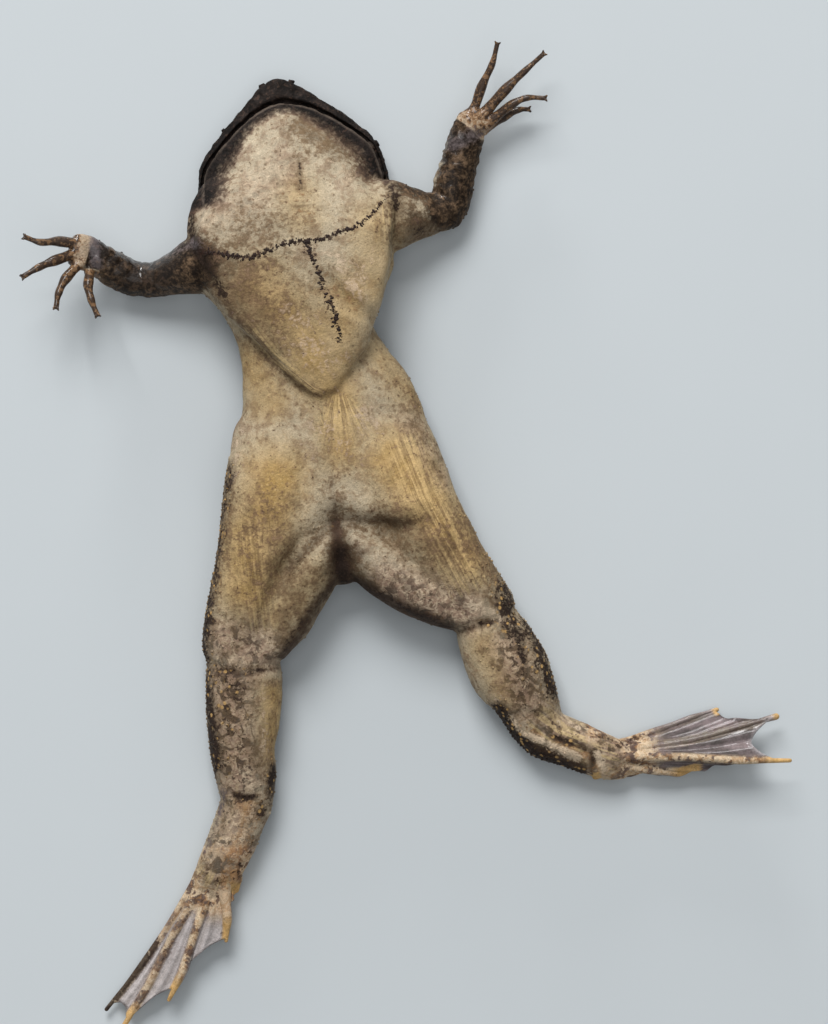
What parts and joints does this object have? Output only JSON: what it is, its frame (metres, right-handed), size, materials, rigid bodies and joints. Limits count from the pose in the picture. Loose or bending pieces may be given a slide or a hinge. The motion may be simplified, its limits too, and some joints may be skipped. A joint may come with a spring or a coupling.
{
  "type": "surinam toad",
  "caption": "Flat-bodied aquatic toad lying belly up with spread limbs, star-tipped fingers and fully webbed hind feet, as a still life-size model.",
  "frame": {"origin": "middle of the bounding box, on the plane that the back rests on", "axes": "+Y towards the nose, +Z out of the belly, +X towards the toad's own left side"},
  "size_m": [0.2308, 0.2973, 0.0282],
  "materials": {
    "pale_skin": "soft, slightly moist skin, pale cream to olive with brown specks",
    "dark_skin": "wrinkled moist dark brown skin",
    "finger_skin": "moist orange-brown skin",
    "mottled_skin": "moist skin, pinkish grey with dark brown mottling",
    "web_skin": "thin glossy grey-brown membrane between cream toes",
    "eye": "wet black"
  },
  "bodies": {
    "root": {"head": "pale_skin", "torso": "pale_skin", "upper_arm_left": "dark_skin", "upper_arm_right": "dark_skin", "forearm_left": "dark_skin", "forearm_right": "dark_skin", "hand_left": "finger_skin", "hand_right": "finger_skin", "thigh_left": "pale_skin", "thigh_right": "pale_skin", "shank_left": "mottled_skin", "shank_right": "mottled_skin", "tarsus_left": "mottled_skin", "tarsus_right": "mottled_skin", "foot_left": "web_skin", "foot_right": "web_skin", "eye_left": "eye", "eye_right": "eye"}
  },
  "joints": []
}
